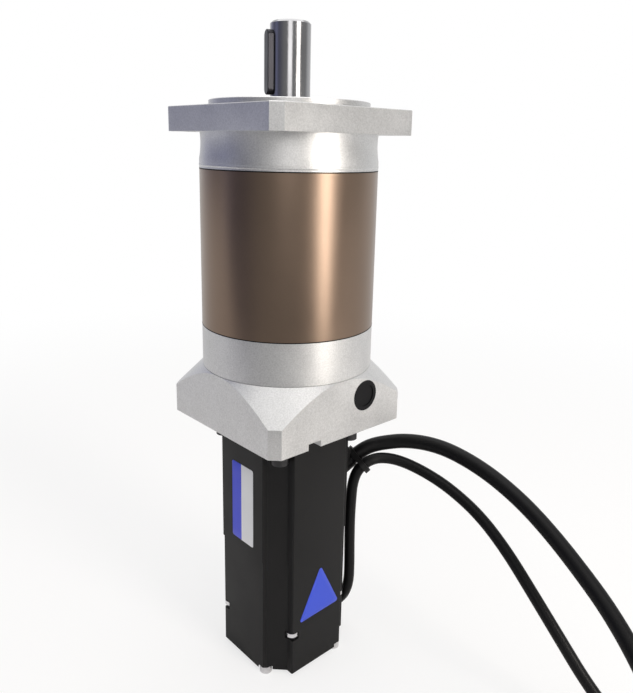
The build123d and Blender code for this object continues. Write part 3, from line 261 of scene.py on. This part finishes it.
surface_finish("copper", (0.55, 0.22, 0.09), 1.0, 0.35, grain_depth=0.02)

# Rubber, plastic and black anodised surfaces
surface_finish("seal_rubber", (0.015, 0.015, 0.016), 0.0, 0.55, grain_depth=0.01)
surface_finish("black_rubber", (0.005, 0.005, 0.006), 0.0, 0.55, grain_depth=0.008, gloss=0.15)
surface_finish("black_anodised", (0.006, 0.006, 0.0064), 0.0, 0.42, grain_scale=2600.0, grain_depth=0.012,
               sparkle=0.6, tone_spread=0.25, gloss=0.18)
surface_finish("disc_plastic", (0.04, 0.04, 0.045), 0.0, 0.2)
surface_finish("black_plastic", (0.009, 0.009, 0.0095), 0.0, 0.48, grain_depth=0.01, gloss=0.18)
surface_finish("lead_jacket", (0.005, 0.005, 0.0055), 0.0, 0.40, grain_scale=1500.0, grain_depth=0.014,
               gloss=0.14)

# The encoder's board and the films of the stickers
surface_finish("board_green", (0.02, 0.14, 0.05), 0.0, 0.3, grain_depth=0.004)
surface_finish("sticker_blue", (0.022, 0.055, 0.50), 0.0, 0.35, grain_depth=0.002)
surface_finish("label_blue", (0.022, 0.045, 0.66), 0.0, 0.35, grain_depth=0.002)
surface_finish("sticker_white", (0.80, 0.81, 0.82), 0.0, 0.4, grain_depth=0.002)


# Leads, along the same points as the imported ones

POWER_ROUTE = [
    (0.0414, -0.0112, 0.1066),
    (0.0459, -0.0140, 0.1109),
    (0.0512, -0.0174, 0.1140),
    (0.0569, -0.0223, 0.1159),
    (0.0644, -0.0322, 0.1186),
    (0.0706, -0.0458, 0.1195),
    (0.0746, -0.0606, 0.1180),
    (0.0762, -0.0819, 0.1135),
    (0.0759, -0.1038, 0.1057),
    (0.0735, -0.1235, 0.0965),
    (0.0698, -0.1430, 0.0859),
    (0.0648, -0.1600, 0.0770),
    (0.0585, -0.1770, 0.0655),
    (0.0510, -0.1940, 0.0505),
    (0.0425, -0.2100, 0.0340),
    (0.0320, -0.2250, 0.0180),
    (0.0180, -0.2380, 0.0070),
    (0.0010, -0.2470, 0.0043),
    (-0.0170, -0.2510, 0.0046),
    (-0.0350, -0.2500, 0.0075),
]
ENCODER_ROUTE = [
    (0.0340, -0.0080, 0.0105),
    (0.0340, -0.0121, 0.0152),
    (0.0345, -0.0164, 0.0220),
    (0.0350, -0.0186, 0.0305),
    (0.0352, -0.0185, 0.0420),
    (0.0352, -0.0178, 0.0580),
    (0.0352, -0.0175, 0.0740),
    (0.0353, -0.0179, 0.0860),
    (0.0359, -0.0180, 0.0946),
    (0.0383, -0.0189, 0.1024),
    (0.0443, -0.0217, 0.1079),
    (0.0522, -0.0252, 0.1090),
    (0.0604, -0.0333, 0.1073),
    (0.0663, -0.0488, 0.1031),
    (0.0701, -0.0645, 0.0972),
    (0.0714, -0.0830, 0.0888),
    (0.0704, -0.1013, 0.0768),
    (0.0690, -0.1189, 0.0617),
    (0.0686, -0.1369, 0.0446),
    (0.0696, -0.1524, 0.0282),
    (0.0725, -0.1680, 0.0140),
    (0.0755, -0.1860, 0.0050),
    (0.0755, -0.2050, 0.0032),
    (0.0700, -0.2220, 0.0034),
    (0.0600, -0.2360, 0.0060),
]


def lead(name, node, points, diameter):
    """A lead as one NURBS curve of order 3 with a round bevel, whose control points are its route."""
    curve = bpy.data.curves.new(name, "CURVE")
    curve.dimensions = "3D"
    curve.bevel_depth = diameter / 2
    curve.bevel_resolution = 8
    curve.resolution_u = 14
    curve.use_fill_caps = True
    spline = curve.splines.new("NURBS")
    spline.points.add(len(points) - 1)
    spline.points.foreach_set("co", np.insert(points, 3, 1.0, axis=1).ravel())
    spline.order_u = 3
    spline.use_endpoint_u = True
    curve.materials.append(FINISHES["lead_jacket"])
    piece = bpy.data.objects.new(name, curve)
    scene.collection.objects.link(piece)
    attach(piece, "gearmotor")
    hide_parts(node)
    return piece


power_lead = lead("power_lead_jacket", "power_lead", POWER_ROUTE, 0.0085)
encoder_lead = lead("encoder_lead_jacket", "encoder_lead", ENCODER_ROUTE, 0.0063)


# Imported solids

SHOWN = (
    "front_housing", "output_seal", "output_shaft", "output_key", "ring_gear_housing", "lower_ring",
    "motor_adapter", "access_plug", "motor_screws", "motor_front_flange", "motor_body", "rear_cover",
    "cover_screws", "seam_screws", "housing_screws", "adapter_screws", "power_gland", "encoder_gland",
    "cable_tie", "power_connector", "encoder_connector",
)
MERGE_DISTANCE = 2e-6
FLAT_ANGLE = radians(0.2)
CREASE_ANGLE = radians(30)


def smoothed(node):
    """A solid's copy, merged, cleared of the edges within flat faces and smoothed up to its creases."""
    mesh = NODES[node].data.copy()
    shell = bmesh.new()
    shell.from_mesh(mesh)
    bmesh.ops.remove_doubles(shell, verts=shell.verts, dist=MERGE_DISTANCE)
    bmesh.ops.dissolve_limit(shell, angle_limit=FLAT_ANGLE, verts=shell.verts, edges=shell.edges)
    shell.to_mesh(mesh)
    shell.free()
    mesh.attributes.remove(mesh.attributes["custom_normal"])
    mesh.shade_smooth()
    mesh.set_sharp_from_angle(angle=CREASE_ANGLE)
    piece = bpy.data.objects.new(node + "_shell", mesh)
    scene.collection.objects.link(piece)
    return piece


def finish_solids():
    """Gives every solid its slot's finish; returns the smoothed copies of those that show, by node name."""
    shells = {}
    slots = {entry["node"]: entry["material_slot"] for entry in frame["record"]["subparts"]}
    bodies = {node: body for body, nodes in frame["record"]["behaviour"]["bodies"].items() for node in nodes}
    for node, solid in NODES.items():
        solid.data.materials.clear()
        solid.data.materials.append(FINISHES[slots[node]])
    for node in SHOWN:
        piece = shells[node] = smoothed(node)
        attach(piece, bodies[node])
        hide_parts(node)
    return shells


SHELLS = finish_solids()


# Surfaces that the solids don't have

RIM_ANGLE = radians(35)


def add_piece(name, points, faces, finish):
    """A mesh object at the origin from an array of points and a list of faces, riding on the motor."""
    mesh = bpy.data.meshes.new(name)
    mesh.from_pydata(points.tolist(), [], faces)
    mesh.update()
    mesh.shade_smooth()
    mesh.set_sharp_from_angle(angle=RIM_ANGLE)
    mesh.materials.append(FINISHES[finish])
    piece = bpy.data.objects.new(name, mesh)
    scene.collection.objects.link(piece)
    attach(piece, "gearmotor")


def quads_between(rows, count):
    """The quads between each row of a surface and the next, where a row is a closed run of count points."""
    here = np.arange(count)
    following = (here + 1) % count
    lower = count * np.array(rows[:-1])[:, None]
    upper = count * np.array(rows[1:])[:, None]
    quads = np.stack([lower + here, lower + following, upper + following, upper + here], axis=2)
    return quads.reshape(-1, 4).tolist()


# The lip round the neck's lower end, and the dark lines where the bronze housing meets its neighbours

HOUSING_LOW, HOUSING_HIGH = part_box("ring_gear_housing")
LIP_ABOVE_HOUSING = 0.0018
LIP_INSET = 0.0006
LINE_INSET = 0.00003
RING_SUNK = 0.0006


def turned_ring(name, radius, middle, half_height, bulge, slot, sections=11, turns=192):
    """A ring round the Z axis with a bulging outside, its rims sunk in the solid that it sits on.

    Its profile runs over v from -1 to 1 as r = radius + bulge * (1 - |v| ** 2.6) and
    z = middle + half_height * v, and two more rows close it inside the solid.
    """
    steps = np.linspace(-1, 1, sections)
    radii = radius + bulge * (1 - np.abs(steps) ** 2.6)
    heights = middle + half_height * steps
    angles = np.linspace(0, 2 * pi, turns, endpoint=False)
    outer = np.stack([np.outer(radii, np.cos(angles)), np.outer(radii, np.sin(angles)),
                      np.repeat(heights[:, None], turns, axis=1)], axis=2)
    shrunk = 1 - RING_SUNK / radius
    inner = outer[[-1, 0]] * [shrunk, shrunk, 1]
    points = np.concatenate([outer, inner]).reshape(-1, 3)
    add_piece(name, points, quads_between([*range(sections + 2), 0], turns), slot)


turned_ring("neck_lip", HOUSING_HIGH.x - LIP_INSET, HOUSING_HIGH.z + LIP_ABOVE_HOUSING, half_height=0.0014,
            bulge=0.00075, slot="satin_aluminium")
for line, height in (("upper_joint_line", HOUSING_HIGH.z), ("lower_joint_line", HOUSING_LOW.z)):
    turned_ring(line, HOUSING_HIGH.x - LINE_INSET, height, half_height=0.00022, bulge=0.00009,
                slot="black_rubber")


# Stickers: the label on the motor's left face, and the triangle on the right face of its rear section, which
# is as wide as the rear cover

MOTOR_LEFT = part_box("motor_body")[0].x
REAR_SECTION_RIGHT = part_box("rear_cover")[0].y
FILM = 0.00012
FILM_SHARES = (0.75, 0.5, 0.25)
CORNER = 0.0012
LABEL_LEFT, LABEL_BORDER, LABEL_RIGHT = -0.0095, -0.0013, 0.0091
LABEL_BOTTOM, LABEL_TOP = 0.0750, 0.1202
TRIANGLE = [(-0.0142, 0.0320), (0.0152, 0.0330), (0.0010, 0.0613)]


def rounded_outline(corners, radii, steps=6):
    """A polygon's corners, each rounded by an arc of its own radius, as a closed run of points."""
    corners = np.array(corners)
    points = []
    for here, radius in enumerate(radii):
        corner = corners[here]
        if radius == 0:
            points.append(corner)
            continue
        inward = corner - corners[here - 1]
        outward = corners[(here + 1) % len(corners)] - corner
        inward /= np.linalg.norm(inward)
        outward /= np.linalg.norm(outward)
        half_turn = np.arccos(np.clip(inward @ outward, -1, 1)) / 2
        first = corner - inward * radius * np.tan(half_turn)
        centre = first + np.array([-inward[1], inward[0]]) * radius
        angles = np.arctan2(*(first - centre)[::-1]) + np.linspace(0, 2 * half_turn, steps)
        points.extend(centre + radius * np.stack([np.cos(angles), np.sin(angles)], axis=1))
    return np.array(points)


def film(name, outline, place, across, finish):
    """A thin film with a rounded rim on an upright face.

    Row by row the outline is carried from the face outwards, then shrunk towards its own middle: each point
    is place + a * across + b * up + depth * (across x up), where (a, b) is the outline scaled by the row's
    share.
    """
    place, across, up = np.array(place, float), np.array(across, float), np.array([0.0, 0.0, 1.0])
    outward = np.cross(across, up)
    middle = outline.mean(axis=0)
    reach = np.abs(outline - middle).max()
    rim = FILM / 2
    bend = 0.3 * rim
    rows = [(1.0, -rim), (1.0, FILM - rim), (1 - bend / reach, FILM - bend), (1 - rim / reach, FILM)]
    rows += [(share, FILM) for share in FILM_SHARES]
    shares, depths = np.array(rows).T[:, :, None, None]
    flat = middle + (outline - middle) * shares
    rings = place + flat[..., :1] * across + flat[..., 1:] * up + depths * outward
    top = place + middle[0] * across + middle[1] * up + FILM * outward
    points = np.vstack([rings.reshape(-1, 3), top])

    count = len(outline)
    here = np.arange(count)
    last = (len(rows) - 1) * count
    fan = np.stack([last + here, last + (here + 1) % count, np.full(count, len(points) - 1)], axis=1)
    faces = quads_between(range(len(rows)), count) + fan.tolist()
    faces.append(here[::-1].tolist())
    add_piece(name, points, faces, finish)


for strip, left, right, radii, finish in (
        ("label_blue_strip", LABEL_LEFT, LABEL_BORDER, (CORNER, 0, 0, CORNER), "label_blue"),
        ("label_white_strip", LABEL_BORDER, LABEL_RIGHT, (0, CORNER, CORNER, 0), "sticker_white")):
    corners = [(left, LABEL_BOTTOM), (right, LABEL_BOTTOM), (right, LABEL_TOP), (left, LABEL_TOP)]
    film(strip, rounded_outline(corners, radii), (MOTOR_LEFT, 0, 0), (0, -1, 0), finish)
film("triangle_sticker", rounded_outline(TRIANGLE, (CORNER, CORNER, CORNER)), (0, REAR_SECTION_RIGHT, 0),
     (1, 0, 0), "sticker_blue")


# Room; its strengths are shares of full white, and its ranges are parts of a direction of length 1

BACKGROUND_DIRECTION = (0.671, 0.741, 0.0)
BACKGROUND_RIGHT = (0.741, -0.671, 0.0)
ROOM_FRONT = 0.38
ROOM_ABOVE = 0.8
ROOM_LIGHTING = (0.25, 0.55)
ROOM_WHITE = colour(1.0, 1.0, 1.0)
ROOM_LEFT = colour(0.42, 0.43, 0.60)
FORWARD_RANGE = (0.05, 0.55)
ABOVE_RANGE = (0.35, 0.95)
LIGHTING_RANGE = (-0.3, 0.9)
LEFT_RANGE = (-0.95, -0.45)


def ray_kinds(tree):
    """1 or 0 for the camera's own rays, and for those that left metal or went through glass."""
    path = add_node(tree, "ShaderNodeLightPath").outputs
    surface_ray = calculate(tree, "MAXIMUM", path["Is Glossy Ray"], path["Is Transmission Ray"])
    return path["Is Camera Ray"], surface_ray


def white_world():
    """A white background for the camera, in a room that darkens towards the camera's side.

    Metal shows the room: full strength in the directions behind the object, less behind the camera, and a
    cooler colour on the left. The rays that only light the surfaces get an even, weaker room.
    """
    scene.world = bpy.data.worlds.new("room")
    scene.world.use_nodes = True
    tree = scene.world.node_tree
    direction = add_node(tree, "ShaderNodeTexCoord").outputs["Generated"]
    upward = add_node(tree, "ShaderNodeSeparateXYZ", {0: direction}).outputs["Z"]
    forward = measure(tree, "DOT_PRODUCT", direction, BACKGROUND_DIRECTION)
    rightward = measure(tree, "DOT_PRODUCT", direction, BACKGROUND_RIGHT)
    camera_ray, surface_ray = ray_kinds(tree)

    ahead = map_range(tree, forward, FORWARD_RANGE, (ROOM_FRONT, 1.0))
    above = map_range(tree, upward, ABOVE_RANGE, (ROOM_FRONT, ROOM_ABOVE))
    lighting = map_range(tree, upward, LIGHTING_RANGE, ROOM_LIGHTING)
    strength = mix(tree, calculate(tree, "MAXIMUM", camera_ray, surface_ray), lighting,
                   calculate(tree, "MAXIMUM", ahead, above))
    cooler = calculate(tree, "MULTIPLY", map_range(tree, rightward, LEFT_RANGE, (1.0, 0.0)),
                       calculate(tree, "SUBTRACT", 1.0, camera_ray))
    background = tree.nodes["Background"].inputs
    feed(tree, calculate(tree, "MAXIMUM", strength, camera_ray), background["Strength"])
    feed(tree, mix_colours(tree, cooler, ROOM_WHITE, ROOM_LEFT), background["Color"])


# Floor

FLOOR_REACH = 4.0
FLOOR_FRONT = (-0.30, -0.15)
FLOOR_PAPER = colour(0.88, 0.87, 0.86)
FLOOR_ROUGHNESS = 0.8
FLOOR_GLOW = 0.7
SEEN_FADE = (0.25, 0.9)
REFLECTED_FADE = (0.3, 1.2)


def floor_material():
    """Paper that fades into the white background as it gets farther, sooner for the camera than in metal."""
    material = bpy.data.materials.new("floor_paper")
    material.use_nodes = True
    tree = material.node_tree
    paper = tree.nodes["Principled BSDF"]
    feed(tree, FLOOR_PAPER, paper.inputs["Base Color"])
    feed(tree, FLOOR_ROUGHNESS, paper.inputs["Roughness"])
    glow = add_node(tree, "ShaderNodeEmission")
    distance = measure(tree, "LENGTH", add_node(tree, "ShaderNodeTexCoord").outputs["Object"])
    camera_ray, surface_ray = ray_kinds(tree)
    seen = map_range(tree, distance, SEEN_FADE, (FLOOR_GLOW, 1.0))
    fade = map_range(tree, distance, REFLECTED_FADE, (0.0, 1.0))
    reflected = calculate(tree, "MULTIPLY", fade, surface_ray)
    faded = add_node(tree, "ShaderNodeMixShader", {"Fac": mix(tree, camera_ray, reflected, seen),
                                                   1: paper.outputs["BSDF"], 2: glow.outputs["Emission"]})
    feed(tree, faded.outputs[0], tree.nodes["Material Output"].inputs["Surface"])
    return material


def pale_floor():
    """A sheet of paper that starts 0.3 m in front of the object and goes on behind it.

    Its grid is s * right + t * forward, with s and t spaced as cubes so that it is finest near the object.
    """
    across = FLOOR_REACH * np.linspace(-1, 1, 41) ** 3
    along = np.append(FLOOR_FRONT, FLOOR_REACH * np.linspace(0, 1, 21) ** 3)
    points = across[None, :, None] * BACKGROUND_RIGHT + along[:, None, None] * BACKGROUND_DIRECTION
    rows, columns = points.shape[:2]
    first = (np.arange(rows - 1)[:, None] * columns + np.arange(columns - 1)).ravel()
    faces = np.stack([first, first + 1, first + columns + 1, first + columns], axis=1).tolist()
    mesh = bpy.data.meshes.new("floor")
    mesh.from_pydata(points.reshape(-1, 3).tolist(), [], faces)
    mesh.materials.append(floor_material())
    floor = bpy.data.objects.new("floor", mesh)
    scene.collection.objects.link(floor)


white_world()
pale_floor()
scene.view_settings.view_transform = "Standard"
